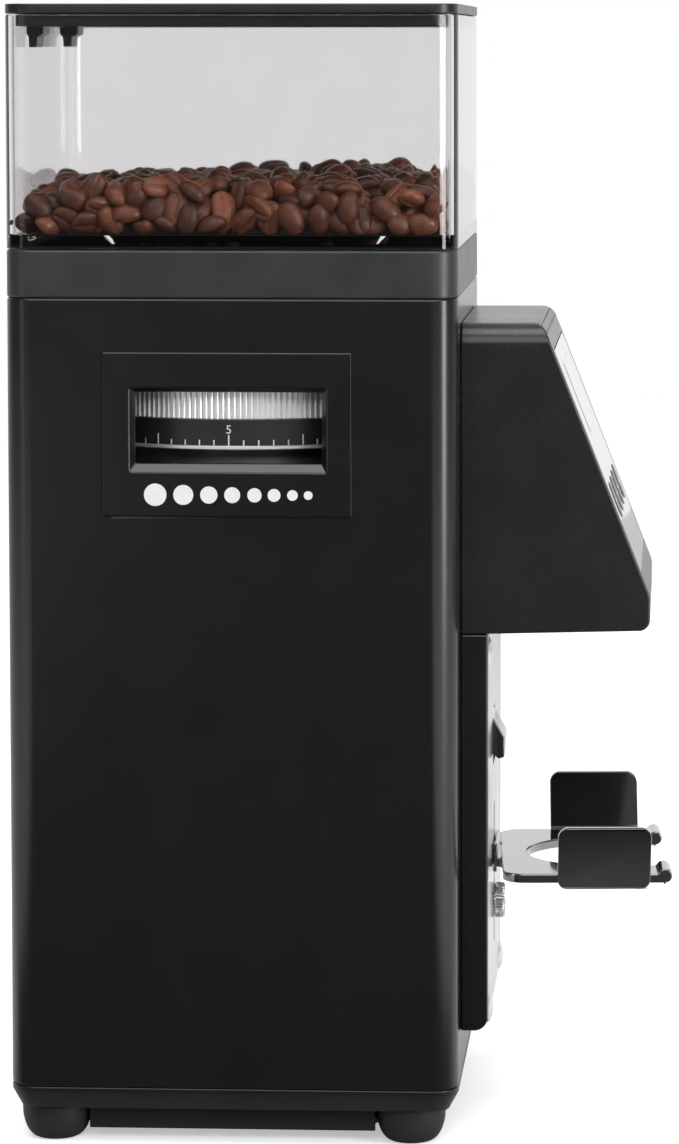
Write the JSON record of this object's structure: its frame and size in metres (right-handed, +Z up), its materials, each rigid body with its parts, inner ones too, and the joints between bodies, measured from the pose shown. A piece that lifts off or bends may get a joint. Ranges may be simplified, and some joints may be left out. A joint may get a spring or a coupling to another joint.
{
  "type": "burr coffee grinder",
  "caption": "On-demand flat burr coffee grinder with a clear bean hopper, side window adjusting ring, chute and portafilter fork.",
  "frame": {"origin": "under the middle of the whole machine, on the surface that it stands on", "axes": "+Z up, +X to the front with the chute and the fork, -Y to the side with the adjusting window"},
  "size_m": [0.2428, 0.1608, 0.418],
  "materials": {
    "shell_paint": "satin black powder coat",
    "black_plastic": "fine textured moulded plastic",
    "gloss_black": "polished black",
    "fork_coat": "gloss black coat",
    "clear_plastic": "clear, slightly smoked",
    "beans": "roasted, lightly oiled",
    "knurled_metal": "turned and knurled",
    "band_black": "black with white marks",
    "facing_steel": "polished stainless sheet",
    "screw_steel": "zinc plated",
    "burr_steel": "ground tool steel",
    "cast_metal": "die cast",
    "brass": "turned",
    "shaft_steel": "ground",
    "core_iron": "stacked laminations",
    "winding_copper": "enamelled copper, varnished",
    "fan_plastic": "moulded",
    "board_green": "solder mask",
    "capacitor_white": "moulded can",
    "silicone": "translucent silicone",
    "foot_rubber": "black rubber",
    "panel_black": "satin panel",
    "display_glass": "tinted lens",
    "key_grey": "printed key field",
    "knob_steel": "knurled"
  },
  "bodies": {
    "body": {"top_collar": "black_plastic", "collar_screws": "screw_steel", "body_shell": "shell_paint", "base_pan": "black_plastic", "bottom_cover": "black_plastic", "feet": "foot_rubber", "foot_screws": "screw_steel", "frame_pillars": "shaft_steel", "scale_bezel": "black_plastic", "ring_retainer": "cast_metal", "guide_pins": "shaft_steel", "carrier_springs": "shaft_steel", "grinding_chamber": "cast_metal", "shaft_bearings": "shaft_steel", "motor_plate": "cast_metal", "upper_end_bell": "cast_metal", "lower_end_bell": "cast_metal", "stator_core": "core_iron", "stator_windings": "winding_copper", "motor_bolts": "screw_steel", "motor_capacitor": "capacitor_white", "power_board": "board_green", "chute_duct": "fan_plastic", "chute_flap": "silicone", "spout": "black_plastic", "chute_housing": "shell_paint", "column_cover": "shell_paint", "control_panel": "panel_black", "display_lens": "display_glass", "touch_keys": "key_grey", "control_board": "board_green", "front_plate": "facing_steel", "plate_screws": "screw_steel", "trigger_pin": "shaft_steel", "trigger_spring": "shaft_steel", "microswitch": "fan_plastic", "inlet_panel": "black_plastic", "cable_gland": "black_plastic"},
    "hopper": {"hopper_bin": "clear_plastic", "coffee_beans": "beans"},
    "lid": {"hopper_lid": "black_plastic"},
    "ring": {"adjusting_ring": "knurled_metal", "scale_band": "band_black"},
    "burr_carrier": {"upper_burr_carrier": "brass", "upper_burr": "burr_steel", "upper_burr_screws": "screw_steel"},
    "rotor": {"rotor_shaft": "shaft_steel", "rotor_core": "core_iron", "cooling_fan": "fan_plastic", "lower_burr_carrier": "brass", "lower_burr": "burr_steel", "lower_burr_screws": "screw_steel", "feed_nut": "shaft_steel"},
    "trigger": {"trigger": "gloss_black"},
    "fork": {"fork_plate": "fork_coat", "fork_ears": "gloss_black", "fork_carriage": "cast_metal"},
    "knob": {"fork_knob": "knob_steel"},
    "rocker": {"power_rocker": "gloss_black"}
  },
  "joints": [
    {"name": "hopper_lift", "type": "slide", "parent": "body", "child": "hopper", "axis": [0, 0, 1], "range_m": [0, 0.06]},
    {"name": "lid_lift", "type": "slide", "parent": "hopper", "child": "lid", "axis": [0, 0, 1], "range_m": [0, 0.04]},
    {"name": "ring_turn", "type": "hinge", "parent": "body", "child": "ring", "pos_m": [-0.0391, 0, 0.27], "axis": [0, 0, 1], "range_deg": [-180, 135]},
    {"name": "burr_feed", "type": "slide", "parent": "body", "child": "burr_carrier", "axis": [0, 0, 1], "range_m": [-0.0004, 0.00051]},
    {"name": "motor_spin", "type": "hinge", "parent": "body", "child": "rotor", "pos_m": [-0.0391, 0, 0.14], "axis": [0, 0, 1], "continuous": true},
    {"name": "trigger_press", "type": "hinge", "parent": "body", "child": "trigger", "pos_m": [0.0476, 0, 0.147], "axis": [0, 1, 0], "range_deg": [0, 11], "stiffness_Nm_per_rad": 0.12, "springref_deg": -17.19},
    {"name": "fork_height", "type": "slide", "parent": "body", "child": "fork", "axis": [0, 0, 1], "range_m": [-0.012, 0.016]},
    {"name": "knob_turn", "type": "hinge", "parent": "fork", "child": "knob", "pos_m": [0.0536, 0, 0.0766], "axis": [1, 0, 0], "range_deg": [0, 360]},
    {"name": "rocker_flip", "type": "hinge", "parent": "body", "child": "rocker", "pos_m": [-0.1094, -0.025, 0.051], "axis": [0, 1, 0], "range_deg": [-16, 0]}
  ],
  "couplings": [
    {"joint": "burr_feed", "follows": "ring_turn", "m_per_rad": -0.00015915}
  ]
}
